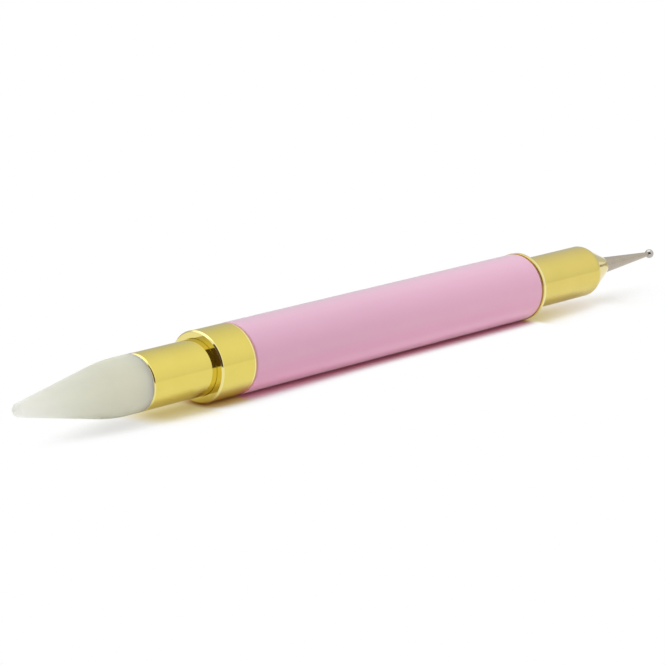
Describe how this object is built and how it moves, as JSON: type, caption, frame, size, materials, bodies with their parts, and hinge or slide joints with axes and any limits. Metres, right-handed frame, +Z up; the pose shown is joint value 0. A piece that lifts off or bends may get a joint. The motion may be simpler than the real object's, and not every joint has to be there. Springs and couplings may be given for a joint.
{
  "type": "dual-ended nail tool",
  "caption": "Pen-shaped nail art tool with a pink round barrel: a wax pick-up cone in a gold ferrule at one end, a tapered steel ball stylus in a gold cone ferrule at the other",
  "frame": {"origin": "on the surface that the tool lies on, below the middle of its overall length", "axes": "+X along the tool's axis from the wax tip to the ball, +Z up, +Y to the far side seen from the front"},
  "size_m": [0.143, 0.0104, 0.0104],
  "materials": {
    "pink_lacquer": "satin pink lacquer",
    "gold_plate": "polished gold plating",
    "bare_brass": "machined",
    "pick_up_wax": "smooth translucent wax",
    "stylus_steel": "polished",
    "seal_rubber": "matte black",
    "liner_plastic": "plain moulded"
  },
  "bodies": {
    "handle": {"barrel_tube": "pink_lacquer", "barrel_liner": "liner_plastic", "wax_collar": "gold_plate", "wax_socket": "bare_brass", "end_ring": "gold_plate", "stylus_socket": "bare_brass"},
    "wax_seal": {"wax_seal": "seal_rubber"},
    "wax_head": {"wax_ferrule": "gold_plate", "wax_screw": "bare_brass", "wax_tip": "pick_up_wax"},
    "stylus_seal": {"stylus_seal": "seal_rubber"},
    "stylus_head": {"stylus_ferrule": "gold_plate", "stylus_screw": "bare_brass", "stylus_shank": "stylus_steel", "stylus_ball": "stylus_steel"}
  },
  "joints": [
    {"name": "wax_head_travel", "type": "slide", "parent": "handle", "child": "wax_seal", "axis": [-1, 0, 0], "range_m": [0, 0.0064]},
    {"name": "wax_head_turn", "type": "hinge", "parent": "wax_seal", "child": "wax_head", "pos_m": [-0.03691, 0, 0.00522], "axis": [-1, 0, 0], "range_deg": [0, 2880]},
    {"name": "stylus_head_travel", "type": "slide", "parent": "handle", "child": "stylus_seal", "axis": [1, 0, 0], "range_m": [0, 0.0064]},
    {"name": "stylus_head_turn", "type": "hinge", "parent": "stylus_seal", "child": "stylus_head", "pos_m": [0.03579, 0, 0.00522], "axis": [1, 0, 0], "range_deg": [0, 2880]}
  ],
  "couplings": [
    {"joint": "wax_head_turn", "follows": "wax_head_travel", "rad_per_m": 7854},
    {"joint": "stylus_head_turn", "follows": "stylus_head_travel", "rad_per_m": 7854}
  ]
}
